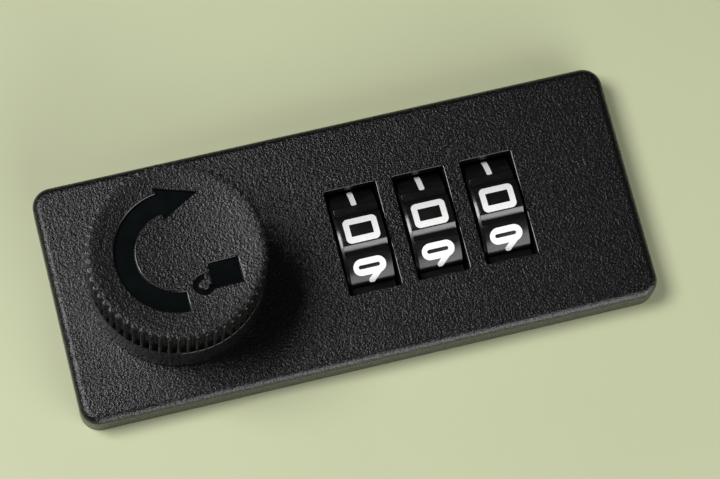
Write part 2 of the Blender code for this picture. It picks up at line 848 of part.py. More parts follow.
def make_reset_spring():
    start = AXLE_WALL_WEST + AXLE_WALL_THICKNESS / 2 + GAP
    end = gap_start(0) + GATE_DISC_OFFSET - GAP
    return coil(
        "reset_spring", 2.25 * MM, 0.25 * MM, start, end, 6.0, (0, 0, WHEEL_AXIS_Z), SPRING_STEEL
    )


def make_reset_slider():
    """A fork over the axle behind the last sleeve, with a ribbed tab that sticks out of the case."""
    half = RESET_SLIDER_THICKNESS / 2
    place = (RESET_SLIDER_X, 0, 0)
    slider = block(
        "reset_slider",
        (-half, -2.7 * MM, CASE_BACK - 1.4 * MM),
        (half, 2.7 * MM, -0.9 * MM),
        PARTS,
        place,
    )
    slot = block(
        "slider_slot",
        (-3 * MM, -AXLE_RADIUS - GAP, WHEEL_AXIS_Z - AXLE_RADIUS - GAP),
        (3 * MM, AXLE_RADIUS + GAP, 3 * MM),
        location=place,
    )
    cut(slider, slot)
    for rib in range(3):
        groove = block(
            f"tab_groove_{rib + 1}",
            (-3 * MM, (rib - 1) * 1.5 * MM - 0.3 * MM, CASE_BACK - 3 * MM),
            (3 * MM, (rib - 1) * 1.5 * MM + 0.3 * MM, CASE_BACK - 1.0 * MM),
            location=place,
        )
        cut(slider, groove)
    return finish_part(slider, NYLON)


# --- Fence -------------------------------------------------------------------------------------


def make_fence():
    """A bar under the wheels: a round nose on the rotor's spiral, a fin for each gate, a spring tab."""
    nose = FENCE_NOSE_WIDTH / 2
    nose_tip = KNOB_X + SPIRAL_START_RADIUS + 0.35 * MM
    nose_centre = nose_tip + nose
    shoulder = KNOB_X + ROTOR_FLANGE_RADIUS + 0.5 * MM
    half = FENCE_BAR_WIDTH / 2
    last_fin = gap_start(WHEEL_COUNT - 1) + FIN_OFFSET + FIN_THICKNESS
    bar_end = last_fin + 0.8 * MM
    outline = arc(nose, math.pi / 2, 1.5 * math.pi, 10, (nose_centre, 0)) + [
        (shoulder, -nose),
        (shoulder, -half),
        (bar_end, -half),
        (bar_end, half),
        (shoulder, half),
        (shoulder, nose),
    ]
    fence = prism("fence", [outline], FENCE_BAR_BOTTOM, FENCE_BAR_TOP, collection=PARTS)
    for index in WHEELS:
        start = gap_start(index) + FIN_OFFSET
        fin = block(
            f"fence_fin_{index + 1}",
            (start, -0.75 * MM, FENCE_BAR_TOP - 0.6 * MM),
            (start + FIN_THICKNESS, 0.75 * MM, WHEEL_AXIS_Z - FIN_TIP_RADIUS),
        )
        join(fence, fin)
    tab = block(
        "fence_tab",
        (-6.4 * MM, half - 0.5 * MM, FENCE_BAR_BOTTOM + 0.001 * MM),
        (-5.4 * MM, 8.8 * MM, -8.7 * MM),
    )
    join(fence, tab)
    return finish_part(fence, ZINC_CAST)


def make_fence_spring():
    return coil(
        "fence_spring",
        1.0 * MM,
        0.2 * MM,
        -5.1 * MM,
        4.6 * MM,
        9.0,
        (0, FENCE_SPRING_Y, FENCE_SPRING_Z),
        SPRING_STEEL,
        8,
    )


def make_detent_spring():
    """A comb cut from spring sheet: a base strip along the case's wall and an arched finger a wheel."""
    wall_y = -9.35 * MM
    nose_y = -WHEEL_RADIUS - 0.42 * MM
    rows = [
        (wall_y, -11.4 * MM),
        (wall_y, -9.4 * MM),
        (wall_y, -7.6 * MM),
        (-9.0 * MM, -5.6 * MM),
        (nose_y - 0.15 * MM, -3.5 * MM),
        (nose_y, WHEEL_AXIS_Z),
        (nose_y - 0.15 * MM, -1.9 * MM),
        (-8.7 * MM, -0.9 * MM),
    ]
    base_rows = 2
    finger_half = 1.6 * MM
    columns = [wheel_centre(0) - 3.2 * MM]
    for index in WHEELS:
        columns += [wheel_centre(index) - finger_half, wheel_centre(index) + finger_half]
    columns.append(wheel_centre(WHEEL_COUNT - 1) + 3.2 * MM)
    bm = bmesh.new()
    grid = [[bm.verts.new((x, y, z)) for x in columns] for y, z in rows]
    for row in range(len(rows) - 1):
        for column in range(len(columns) - 1):
            if row < base_rows or column % 2 == 1:
                bm.faces.new(
                    (
                        grid[row][column],
                        grid[row][column + 1],
                        grid[row + 1][column + 1],
                        grid[row + 1][column],
                    )
                )
    loose = [v for v in bm.verts if not v.link_faces]
    bmesh.ops.delete(bm, geom=loose, context="VERTS")
    spring = add_object("detent_spring", mesh_from_bmesh("detent_spring", bm), PARTS)
    sheet = spring.modifiers.new("sheet", "SOLIDIFY")
    sheet.thickness = 0.3 * MM
    sheet.offset = 0
    return finish_part(spring, SPRING_STEEL)


# --- Case --------------------------------------------------------------------------------------


def make_case():
    bm = bmesh.new()
    bmesh.ops.create_cube(bm, size=1.0)
    top = CASE_SEAT_DEPTH - GAP
    height = top - CASE_BACK
    bmesh.ops.scale(bm, vec=(2 * CASE_HALF_LENGTH, 2 * CASE_HALF_WIDTH, height), verts=bm.verts)
    bmesh.ops.translate(bm, vec=(0, 0, (top + CASE_BACK) / 2), verts=bm.verts)
    upright = [e for e in bm.edges if abs(e.verts[0].co.z - e.verts[1].co.z) > height / 2]
    bmesh.ops.bevel(
        bm, geom=upright, offset=CASE_CORNER_RADIUS, segments=4, profile=0.5, affect="EDGES"
    )
    case = add_object("case", mesh_from_bmesh("case", bm), PARTS)
    inner_x = CASE_HALF_LENGTH - CASE_WALL
    inner_y = CASE_HALF_WIDTH - CASE_WALL
    cut(case, block("case_room", (-inner_x, -inner_y, CASE_FLOOR), (inner_x, inner_y, 5 * MM)))
    half_wall = AXLE_WALL_THICKNESS / 2
    below = CASE_FLOOR - 0.5 * MM
    for name, x in (("west", AXLE_WALL_WEST), ("east", AXLE_WALL_EAST)):
        wall = block(
            f"axle_wall_{name}",
            (x - half_wall, -inner_y - 0.5 * MM, below),
            (x + half_wall, inner_y + 0.5 * MM, top - 0.001 * MM),
        )
        join(case, wall)
    for index, (x, y) in enumerate(CASE_SCREWS):
        boss = rod(f"case_boss_{index + 1}", SCREW_BOSS_RADIUS, below, top - 0.002 * MM, segments=16)
        boss.location = (x, y, 0)
        join(case, boss)
    for index, x in enumerate(CLAMP_POSITIONS):
        boss = rod(f"clamp_boss_{index + 1}", CLAMP_BOSS_RADIUS, CLAMP_BOSS_END, CASE_BACK + 0.5 * MM)
        boss.location = (x, 0, 0)
        join(case, boss)
    post = block("fence_spring_post", (4.9 * MM, 5.9 * MM, below), (6.1 * MM, inner_y + 0.5 * MM, -8.7 * MM))
    join(case, post)
    arch = block(
        "fence_arch",
        (AXLE_WALL_WEST - 2 * MM, -FENCE_BAR_WIDTH / 2 - 0.4 * MM, CASE_FLOOR + 0.001 * MM),
        (AXLE_WALL_WEST + 2 * MM, FENCE_BAR_WIDTH / 2 + 0.4 * MM, FENCE_BAR_TOP + 0.4 * MM),
    )
    cut(case, arch)
    for name, x in (("west", AXLE_WALL_WEST), ("east", AXLE_WALL_EAST)):
        seat = block(
            f"axle_seat_{name}",
            (x - 2 * MM, -AXLE_RADIUS - GAP, WHEEL_AXIS_Z - AXLE_RADIUS - GAP),
            (x + 2 * MM, AXLE_RADIUS + GAP, 3 * MM),
        )
        cut(case, seat)
    journal = rod("rotor_journal", 4.0 * MM + GAP, CASE_BACK - 2 * MM, CASE_FLOOR + 2 * MM)
    journal.location = (KNOB_X, 0, 0)
    slider_half = RESET_SLIDER_THICKNESS / 2
    slot = block(
        "reset_slot",
        (RESET_SLIDER_X - RESET_TRAVEL - slider_half - GAP, -3.0 * MM, CASE_BACK - 2 * MM),
        (RESET_SLIDER_X + slider_half + GAP, 3.0 * MM, CASE_FLOOR + 2 * MM),
    )
    cut(case, journal, slot)
    for index, (x, y) in enumerate(CASE_SCREWS):
        hole = rod(f"case_screw_hole_{index + 1}", 1.35 * MM, CASE_BACK - 2 * MM, 2 * MM, segments=16)
        counterbore = rod(f"case_counterbore_{index + 1}", 2.3 * MM, CASE_BACK - 2 * MM, SCREW_SEAT_Z)
        hole.location = (x, y, 0)
        counterbore.location = (x, y, 0)
        cut(case, hole, counterbore)
    for index, x in enumerate(CLAMP_POSITIONS):
        hole = rod(f"clamp_pilot_{index + 1}", 1.5 * MM, CLAMP_BOSS_END - 2 * MM, -12.6 * MM, segments=16)
        hole.location = (x, 0, 0)
        cut(case, hole)
    return finish_part(case, CASE_PLASTIC, 30)


def make_case_screws():
    for index, (x, y) in enumerate(CASE_SCREWS):
        place = (x, y, SCREW_SEAT_Z - GAP)
        pan_screw(f"case_screw_{index + 1}", place, 2.0 * MM, 1.3 * MM, 1.0 * MM, 15.0 * MM)


# --- Clamp brackets ----------------------------------------------------------------------------


def rounded_path(points, radius, steps=4):
    """A path whose inner corners are replaced by arcs."""
    path = [Vector(points[0])]
    for before, corner, after in zip(points, points[1:], points[2:]):
        here = Vector(corner)
        towards = (Vector(before) - here).normalized()
        away = (Vector(after) - here).normalized()
        half_angle = towards.angle(away) / 2
        reach = radius / math.tan(half_angle)
        centre = here + (towards + away).normalized() * radius / math.sin(half_angle)
        start = here + towards * reach - centre
        end = here + away * reach - centre
        turn = start.angle_signed(end)
        for step in range(steps + 1):
            share = turn * step / steps
            path.append(centre + Matrix.Rotation(-share, 2) @ start)
    path.append(Vector(points[-1]))
    return path


def make_clamp_bracket(index):
    """A strap across the case's back whose legs reach forward to the panel, with turned-out feet."""
    x = CLAMP_POSITIONS[index]
    half_sheet = CLAMP_SHEET / 2
    web_z = CLAMP_BOSS_END - GAP - half_sheet
    foot_z = -PANEL_THICKNESS - half_sheet
    leg_y = CLAMP_LEG_Y + half_sheet
    half_profile = [(0, web_z), (leg_y, web_z), (leg_y, foot_z), (CLAMP_FOOT_REACH, foot_z)]
    right = rounded_path(half_profile, 1.0 * MM)
    left = [Vector((-y, z)) for y, z in reversed(right[1:])]
    path = left + right
    bm = bmesh.new()
    near = [bm.verts.new((-CLAMP_WIDTH / 2, y, z)) for y, z in path]
    far = [bm.verts.new((CLAMP_WIDTH / 2, y, z)) for y, z in path]
    for step in range(len(path) - 1):
        bm.faces.new((near[step], near[step + 1], far[step + 1], far[step]))
    name = f"clamp_bracket_{index + 1}"
    bracket = add_object(name, mesh_from_bmesh(name, bm), PARTS, (x, 0, 0))
    sheet = bracket.modifiers.new("sheet", "SOLIDIFY")
    sheet.thickness = CLAMP_SHEET
    sheet.offset = 0
    sheet.use_even_offset = True
    hole = rod(f"{name}_hole", 1.6 * MM, web_z - 2 * MM, web_z + 2 * MM, segments=20)
    hole.location = (x, 0, 0)
    cut(bracket, hole)
    return finish_part(bracket, STEEL, 30)


def make_clamp_screw(index):
    head_face = CLAMP_BOSS_END - GAP - CLAMP_SHEET - GAP
    place = (CLAMP_POSITIONS[index], 0, head_face)
    return pan_screw(f"clamp_screw_{index + 1}", place, 2.3 * MM, 1.6 * MM, 1.2 * MM, 3.8 * MM, 0.6 * MM)


make_face_plate()
make_knob()
make_knob_washer()
make_knob_screw()
make_rotor()
make_thrust_washer()
make_cam()
make_cam_washer()
make_cam_nut()
for wheel_index in WHEELS:
    make_wheel(wheel_index)
    make_code_sleeve(wheel_index)
make_axle()
make_reset_spring()
make_reset_slider()
make_fence()
make_fence_spring()
make_detent_spring()
make_case()
make_case_screws()
for clamp_index in range(len(CLAMP_POSITIONS)):
    make_clamp_bracket(clamp_index)
    make_clamp_screw(clamp_index)
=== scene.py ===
import math

import bmesh
import bpy
import numpy as np
from mathutils import Matrix, Vector


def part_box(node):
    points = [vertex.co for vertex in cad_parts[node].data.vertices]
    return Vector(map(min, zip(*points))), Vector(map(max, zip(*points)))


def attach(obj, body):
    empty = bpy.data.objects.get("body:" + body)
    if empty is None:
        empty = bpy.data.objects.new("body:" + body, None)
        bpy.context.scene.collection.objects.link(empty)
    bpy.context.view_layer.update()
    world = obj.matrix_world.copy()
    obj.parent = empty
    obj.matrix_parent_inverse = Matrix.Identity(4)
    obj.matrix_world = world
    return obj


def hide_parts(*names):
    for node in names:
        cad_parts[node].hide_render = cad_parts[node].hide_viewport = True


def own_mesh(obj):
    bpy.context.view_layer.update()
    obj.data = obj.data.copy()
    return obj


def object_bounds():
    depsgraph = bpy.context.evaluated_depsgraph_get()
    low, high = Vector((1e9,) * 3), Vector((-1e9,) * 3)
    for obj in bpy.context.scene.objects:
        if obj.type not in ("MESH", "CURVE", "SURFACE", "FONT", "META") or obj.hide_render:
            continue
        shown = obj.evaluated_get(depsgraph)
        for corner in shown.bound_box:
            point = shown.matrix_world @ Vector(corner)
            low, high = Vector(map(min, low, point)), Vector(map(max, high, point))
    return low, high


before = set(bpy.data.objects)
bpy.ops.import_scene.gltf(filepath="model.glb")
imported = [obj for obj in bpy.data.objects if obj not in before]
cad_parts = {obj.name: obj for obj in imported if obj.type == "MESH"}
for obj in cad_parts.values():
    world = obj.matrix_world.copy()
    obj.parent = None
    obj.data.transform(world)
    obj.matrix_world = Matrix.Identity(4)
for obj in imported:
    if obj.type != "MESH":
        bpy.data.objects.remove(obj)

CAD_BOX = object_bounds()
MM = 0.001
TURN = 2 * math.pi


def middle(node, axis):
    low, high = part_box(node)
    return (low[axis] + high[axis]) / 2


# --- Camera ------------------------------------------------------------------------------------

# Looks down on the plate from its knob end, rolled a little.
camera_data = bpy.data.cameras.new("camera")
camera = bpy.data.objects.new("camera", camera_data)
bpy.context.scene.collection.objects.link(camera)
bpy.context.scene.camera = camera
camera_data.sensor_width = 36.0
camera_data.lens = 150.0
camera_data.clip_start = 0.01
camera_data.clip_end = 20.0
CAMERA_PLACE = Vector((-41.89, -86.49, 344.98)) * MM
CAMERA_TARGET = Vector((2.165, 0.893, 0.0)) * MM
CAMERA_ROLL = math.radians(12.993)
ahead = (CAMERA_TARGET - CAMERA_PLACE).normalized()
upright = ahead.to_track_quat("-Z", "Y")
camera.rotation_mode = "QUATERNION"
camera.rotation_quaternion = upright @ Matrix.Rotation(CAMERA_ROLL, 3, "Z").to_quaternion()
camera.location = CAMERA_PLACE


# --- Materials ---------------------------------------------------------------------------------


class Nodes:
    """A material with a Principled shader, and short ways to add and join its nodes."""

    def __init__(self, name, roughness=0.5, metallic=0.0, ior=1.5):
        self.material = bpy.data.materials.new(name)
        self.material.use_nodes = True
        self.tree = self.material.node_tree
        self.shader = self.tree.nodes["Principled BSDF"]
        self.set(self.shader, Roughness=roughness, Metallic=metallic, IOR=ior)
        self.place = self.add("ShaderNodeTexCoord").outputs["Object"]

    def add(self, kind, **inputs):
        node = self.tree.nodes.new(kind)
        return self.set(node, **inputs)

    def set(self, node, **inputs):
        for key, value in inputs.items():
            socket = node.inputs[key.replace("_", " ")]
            if isinstance(value, bpy.types.NodeSocket):
                self.tree.links.new(value, socket)
            else:
                socket.default_value = value
        return node

    def stretched(self, scale):
        """The piece's own coordinates, scaled by axis."""
        mapping = self.add("ShaderNodeMapping", Vector=self.place)
        mapping.inputs["Scale"].default_value = scale
        return mapping.outputs["Vector"]

    def noise(self, size, detail=3.0, rough=0.55, distortion=0.0, vector=None):
        node = self.add(
            "ShaderNodeTexNoise",
            Vector=vector or self.place,
            Scale=1.0 / size,
            Detail=detail,
            Roughness=rough,
            Distortion=distortion,
        )
        return node.outputs["Fac"]

    def cells(self, size):
        node = self.add("ShaderNodeTexVoronoi", Vector=self.place, Scale=1.0 / size)
        node.feature = "SMOOTH_F1"
        node.inputs["Smoothness"].default_value = 0.6
        return node.outputs["Distance"]

    def between(self, value, low, high, out_low=0.0, out_high=1.0):
        """value from low..high to out_low..out_high, clamped."""
        limits = {"From_Min": low, "From_Max": high, "To_Min": out_low, "To_Max": out_high}
        return self.add("ShaderNodeMapRange", Value=value, **limits).outputs["Result"]

    def math(self, operation, first, second):
        node = self.tree.nodes.new("ShaderNodeMath")
        node.operation = operation
        for socket, value in zip(node.inputs, (first, second)):
            if isinstance(value, bpy.types.NodeSocket):
                self.tree.links.new(value, socket)
            else:
                socket.default_value = value
        return node.outputs[0]

    def mix(self, factor, first, second):
        node = self.tree.nodes.new("ShaderNodeMix")
        node.data_type = "RGBA"
        for name, value in (("Factor_Float", factor), ("A_Color", first), ("B_Color", second)):
            socket = next(s for s in node.inputs if s.identifier == name)
            if isinstance(value, bpy.types.NodeSocket):
                self.tree.links.new(value, socket)
            else:
                socket.default_value = value if name == "Factor_Float" else (*value, 1.0)
        return next(s for s in node.outputs if s.identifier == "Result_Color")

    def bump(self, height, distance):
        node = self.add("ShaderNodeBump", Height=height, Distance=distance, Strength=1.0)
        return node.outputs["Normal"]


def grey(value):
    return (value, value, value)


def moulded(name, dark, light, roughness, grain, grain_height):
    """Moulded plastic with a spark-eroded grain: a pebbled surface with glossier peaks."""
    m = Nodes(name)
    fine = m.noise(grain, detail=2.5, rough=0.6, distortion=0.4)
    coarse = m.noise(grain * 2.3, detail=2.0)
    pebbles = m.cells(grain * 1.6)
    height = m.math("ADD", fine, m.math("MULTIPLY", coarse, 0.7))
    height = m.math("SUBTRACT", height, m.math("MULTIPLY", pebbles, 0.5))
    patches = m.noise(9 * MM, detail=3.0)
    wear = m.math("ADD", fine, m.math("MULTIPLY", patches, 0.5))
    m.set(
        m.shader,
        Base_Color=m.mix(m.between(wear, 0.55, 1.0), dark, light),
        Roughness=m.between(fine, 0.3, 0.7, roughness + 0.08, roughness - 0.08),
        Normal=m.bump(height, grain_height),
    )
    return m.material


def glossy_plastic(name, dark, light, roughness, spread=0.12, scuff_height=0.0007 * MM, ior=1.5):
    """Polished moulded plastic with faint flow marks and fine scuffs from handling."""
    m = Nodes(name, ior=ior)
    flow = m.noise(2.2 * MM, detail=3.0)
    scuffs = m.noise(0.35 * MM, detail=4.0, vector=m.stretched((0.25, 1.0, 1.0)))
    m.set(
        m.shader,
        Base_Color=m.mix(m.between(flow, 0.35, 0.7), dark, light),
        Roughness=m.between(scuffs, 0.35, 0.75, roughness - spread / 3, roughness + spread),
        Normal=m.bump(scuffs, scuff_height),
    )
    return m.material


def metal(name, dark, light, roughness, grain, grain_height, stretch=(1.0, 1.0, 1.0)):
    """A metal with a directional or cast grain, slightly duller where it is darker."""
    m = Nodes(name, metallic=1.0)
    streaks = m.noise(grain, detail=4.0, vector=m.stretched(stretch))
    stains = m.noise(3.5 * MM, detail=3.0)
    shade = m.math("ADD", m.math("MULTIPLY", streaks, 0.5), m.math("MULTIPLY", stains, 0.6))
    m.set(
        m.shader,
        Base_Color=m.mix(m.between(shade, 0.35, 0.8), dark, light),
        Roughness=m.between(stains, 0.3, 0.7, roughness + 0.1, roughness - 0.06),
        Normal=m.bump(streaks, grain_height),
    )
    return m.material


def numeral_paint():
    m = Nodes("numeral_white", roughness=0.45)
    film = m.noise(0.5 * MM, detail=3.0)
    m.set(
        m.shader,
        Base_Color=m.mix(m.between(film, 0.3, 0.7), (0.86, 0.86, 0.85), (0.95, 0.95, 0.94)),
        Normal=m.bump(film, 0.003 * MM),
    )
    return m.material


def panel_paint():
    m = Nodes("panel_paint", roughness=0.5)
    peel = m.noise(0.9 * MM, detail=2.0)
    clouds = m.noise(30 * MM, detail=2.0)
    m.set(
        m.shader,
        Base_Color=m.mix(m.between(clouds, 0.3, 0.7), (0.560, 0.590, 0.375), (0.580, 0.612, 0.390)),
        Roughness=m.between(peel, 0.3, 0.7, 0.46, 0.56),
        Normal=m.bump(peel, 0.004 * MM),
    )
    return m.material


def floor_paint():
    m = Nodes("floor_paint", roughness=0.8)
    clouds = m.noise(60 * MM, detail=2.0)
    m.set(m.shader, Base_Color=m.mix(clouds, (0.50, 0.50, 0.485), (0.54, 0.54, 0.525)))
    return m.material


PLATE_BLACK = moulded("plate_black", grey(0.002), grey(0.005), 0.26, 0.20 * MM, 0.072 * MM)
KNOB_BLACK = moulded("knob_black", grey(0.002), grey(0.005), 0.26, 0.19 * MM, 0.050 * MM)
CASE_BLACK = moulded(
    "case_plastic", (0.018, 0.018, 0.019), (0.034, 0.034, 0.035), 0.50, 0.5 * MM, 0.03 * MM
)
NYLON = moulded("nylon", (0.66, 0.64, 0.57), (0.76, 0.74, 0.68), 0.48, 0.6 * MM, 0.01 * MM)
SMOOTH_BLACK = glossy_plastic("smooth_black", grey(0.003), grey(0.005), 0.32)
SIDE_BLACK = glossy_plastic("knob_side_black", grey(0.002), grey(0.004), 0.17, 0.05, 0.0002 * MM)
FLOOR_BLACK = glossy_plastic(
    "engraving_black", (0.002, 0.003, 0.003), (0.0035, 0.005, 0.005), 0.10, 0.02, 0.0001 * MM
)
WHEEL_BLACK = glossy_plastic("wheel_black", grey(0.004), grey(0.007), 0.22, 0.08, ior=1.62)
EDGE_BLACK = glossy_plastic("edge_black", grey(0.003), grey(0.005), 0.22, 0.05, ior=1.62)
ZINC = metal("zinc_cast", (0.42, 0.42, 0.43), (0.60, 0.60, 0.61), 0.42, 0.35 * MM, 0.012 * MM)
STEEL = metal(
    "steel", (0.48, 0.48, 0.47), (0.66, 0.66, 0.64), 0.30, 0.25 * MM, 0.004 * MM, (1.0, 0.12, 1.0)
)
SPRING_STEEL = metal(
    "spring_steel", (0.36, 0.37, 0.38), (0.52, 0.53, 0.55), 0.26, 0.15 * MM, 0.002 * MM, (0.2, 1.0, 1.0)
)
BRASS = metal(
    "brass", (0.34, 0.24, 0.10), (0.50, 0.37, 0.17), 0.36, 0.2 * MM, 0.003 * MM, (1.0, 0.1, 0.1)
)
NUMERAL_WHITE = numeral_paint()
PANEL_PAINT = panel_paint()
FLOOR_PAINT = floor_paint()


# --- Modelling helpers -------------------------------------------------------------------------


def link(name, mesh, *materials):
    obj = bpy.data.objects.new(name, mesh)
    bpy.context.scene.collection.objects.link(obj)
    for material in materials:
        mesh.materials.append(material)
    return obj


def shade(obj, angle=35):
    obj.data.shade_smooth()
    obj.data.set_sharp_from_angle(angle=math.radians(angle))
    return obj


def piece(obj, body, stands_for=(), angle=35, flat_first=False):
    """Hangs a finished piece on its body. flat_first keeps broad faces flat beside narrow roundings."""
    shade(obj, angle)
    if flat_first:
        normals = obj.modifiers.new("normals", "WEIGHTED_NORMAL")
        normals.weight = 90
        normals.keep_sharp = True
    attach(obj, body)
    if stands_for:
        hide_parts(*stands_for)
    return obj


def to_mesh(name, bm):
    bmesh.ops.recalc_face_normals(bm, faces=bm.faces)
    mesh = bpy.data.meshes.new(name)
    bm.to_mesh(mesh)
    bm.free()
    return mesh


def polar(radius, angle):
    return (radius * math.cos(angle), radius * math.sin(angle))


def arc(radius, start, end, steps, centre=(0, 0)):
    points = []
    for step in range(steps + 1):
        x, y = polar(radius, start + (end - start) * step / steps)
        points.append((centre[0] + x, centre[1] + y))
    return points


def rounded_rect(half_x, half_y, radius, steps=8):
    points = []
    for corner, (sx, sy) in enumerate(((1, 1), (-1, 1), (-1, -1), (1, -1))):
        centre = (sx * (half_x - radius), sy * (half_y - radius))
        start = corner * math.pi / 2
        points += arc(radius, start, start + math.pi / 2, steps, centre)
    return points


def moved(points, x, y):
    return [(px + x, py + y) for px, py in points]


def loft_mesh(name, levels):
    """Outlines of equal length stacked on Z, as (height, points), with flat ends."""
    bm = bmesh.new()
    rings = [[bm.verts.new((x, y, z)) for x, y in points] for z, points in levels]
    for below, above in zip(rings, rings[1:]):
        count = len(below)
        for i in range(count):
            j = (i + 1) % count
            bm.faces.new((below[i], below[j], above[j], above[i]))
    bm.faces.new(rings[0][::-1])
    bm.faces.new(rings[-1])
    return to_mesh(name, bm)


def lathe_mesh(name, profile, steps, radius_at=None, centre=(0, 0)):
    """Rows of (radius, height) turned about Z. radius_at(radius, height, angle) may shape a row."""
    bm = bmesh.new()
    rows = []
    for radius, height in profile:
        if radius < 1e-9:
            rows.append([bm.verts.new((centre[0], centre[1], height))] * steps)
            continue
        row = []
        for step in range(steps):
            angle = TURN * step / steps
            r = radius_at(radius, height, angle) if radius_at else radius
            x, y = polar(r, angle)
            row.append(bm.verts.new((centre[0] + x, centre[1] + y, height)))
        rows.append(row)
    for first, second in zip(rows, rows[1:]):
        for i in range(steps):
            j = (i + 1) % steps
            corners = []
            for vert in (first[i], first[j], second[j], second[i]):
                if vert not in corners:
                    corners.append(vert)
            if len(corners) > 2:
                bm.faces.new(corners)
    return to_mesh(name, bm)


def carve(obj, *cutters):
    """Cuts with other objects, which then go, and keeps the result as the object's mesh."""
    for cutter in cutters:
        modifier = obj.modifiers.new("carve", "BOOLEAN")
        modifier.object = cutter
        modifier.operation = "DIFFERENCE"
        modifier.solver = "EXACT"
        modifier.material_mode = "TRANSFER"
    bpy.context.view_layer.update()
    result = obj.evaluated_get(bpy.context.evaluated_depsgraph_get())
    mesh = bpy.data.meshes.new_from_object(result)
    obj.modifiers.clear()
    obj.data = mesh
    for cutter in cutters:
        bpy.data.objects.remove(cutter, do_unlink=True)
    return obj


def tool(mesh, *materials):
    return link(mesh.name, mesh, *materials)


def turned_tool(radius, start, end, axis="Z", centre=(0, 0, 0), steps=64, material=None):
    mesh = lathe_mesh("tool", [(0, start), (radius, start), (radius, end), (0, end)], steps)
    if axis == "X":
        mesh.transform(Matrix.Rotation(math.pi / 2, 4, "Y"))
    mesh.transform(Matrix.Translation(centre))
    return tool(mesh, *([material] if material else []))


LIP_TURN = math.radians(78)


def sunk_tools(outline_at, floor, top, lip, material, place, surface=None):
    """A pocket's tools: straight walls down to a floor, and a rounded lip where it meets the surface.

    outline_at(grow) gives the pocket's outline, grown; surface(x, y) is the surface's height over top.
    """
    wall = moved(outline_at(0), *place)
    straight = tool(loft_mesh("pocket", [(floor, wall), (top + 1 * MM, wall)]), material)
    levels = []
    for step in range(6):
        angle = LIP_TURN * step / 5
        grow = lip * (1 - math.cos(angle))
        levels.append((top - lip + lip * math.sin(angle), moved(outline_at(grow), *place)))
    levels.append((top + 1 * MM, levels[-1][1]))
    mesh = loft_mesh("lip", levels)
    if surface:
        for vert in mesh.vertices:
            vert.co.z += surface(vert.co.x, vert.co.y)
    return straight, tool(mesh, EDGE_BLACK)


# --- Face plate --------------------------------------------------------------------------------

PLATE_LOW, PLATE_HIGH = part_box("face_plate")
PLATE_TOP = PLATE_HIGH.z
PLATE_CORNER = 2.3 * MM
PLATE_FILLET = 1.0 * MM
WINDOW_HALF_WIDTH = 3.13 * MM
WINDOW_HALF_LENGTH = 6.5 * MM
WINDOW_LIP = 0.17 * MM
KNOB_X = middle("knob", 0)
WHEEL_NAMES = ["number_wheel_1", "number_wheel_2", "number_wheel_3"]
WHEEL_XS = [middle(name, 0) for name in WHEEL_NAMES]
WHEEL_LOW, WHEEL_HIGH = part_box("number_wheel_1")
WHEEL_RADIUS = (WHEEL_HIGH.y - WHEEL_LOW.y) / 2
WHEEL_Z = middle("wheel_axle", 2)


def window_outline(grow):
    return rounded_rect(WINDOW_HALF_WIDTH + grow, WINDOW_HALF_LENGTH + grow, 0.2 * MM + grow, 4)


def make_plate():
    half_x, half_y = PLATE_HIGH.x, PLATE_HIGH.y
    levels = [(PLATE_LOW.z, 0.08 * MM), (PLATE_LOW.z + 0.08 * MM, 0.0)]
    for step in range(11):
        angle = math.pi / 2 * step / 10
        rise = PLATE_FILLET * math.sin(angle)
        levels.append((PLATE_TOP - PLATE_FILLET + rise, PLATE_FILLET * (1 - math.cos(angle))))
    rings = [
        (z, rounded_rect(half_x - inset, half_y - inset, PLATE_CORNER - inset, 12))
        for z, inset in levels
    ]
    plate = link("plate_shell", loft_mesh("plate_shell", rings), PLATE_BLACK)
    seat = rounded_rect(31.0 * MM, 11.8 * MM, 0.2 * MM, 2)
    tools = [tool(loft_mesh("seat", [(-1 * MM, seat), (0.4 * MM, seat)]), SMOOTH_BLACK)]
    tools.append(turned_tool(4.8 * MM, -5 * MM, 9 * MM, centre=(KNOB_X, 0, 0), material=SMOOTH_BLACK))
    for x in WHEEL_XS:
        tools += sunk_tools(window_outline, -2 * MM, PLATE_TOP, WINDOW_LIP, SMOOTH_BLACK, (x, 0))
        half = WINDOW_HALF_WIDTH - 0.002 * MM
        room = WHEEL_RADIUS + 0.4 * MM
        tools.append(turned_tool(room, -half, half, "X", (x, 0, WHEEL_Z), 96, SMOOTH_BLACK))
    carve(plate, *tools)
    return piece(plate, "lock_body", ["face_plate"], 30, True)


make_plate()


# --- Knob --------------------------------------------------------------------------------------

KNOB_LOW, KNOB_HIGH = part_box("knob")
KNOB_TOP = KNOB_HIGH.z
KNOB_RADIUS = 10.45 * MM
KNOB_SKIRT_RADIUS = 10.4 * MM
KNURL_START = KNOB_LOW.z + 6.3 * MM
KNURL_TEETH = 60
KNURL_DEPTH = 0.52 * MM
ENGRAVING_DEPTH = 0.7 * MM
ENGRAVING_LIP = 0.17 * MM
DISH_RADIUS = 9.6 * MM
DISH_DEPTH = 0.5 * MM
RIM_ROUND = 0.22 * MM
HOLLOW_RADIUS = 8.3 * MM
HOLLOW_DEPTH = 0.8 * MM
SOCKET_RADIUS = 4.5 * MM
SOCKET_HALF_FLATS = 3.5 * MM
SOCKET_TOP = 12.6 * MM
THREAD_RADIUS = 1.5 * MM
THREAD_TOP = 16.2 * MM


def knurl_radius(radius, height, angle):
    """Rounded teeth with narrow grooves above the skirt."""
    if height < KNURL_START + 0.005 * MM:
        return radius
    phase = abs((angle / TURN * KNURL_TEETH + 0.5) % 1.0 - 0.5)
    return min(radius, KNOB_RADIUS - KNURL_DEPTH * math.sin(math.pi * phase) ** 1.7)


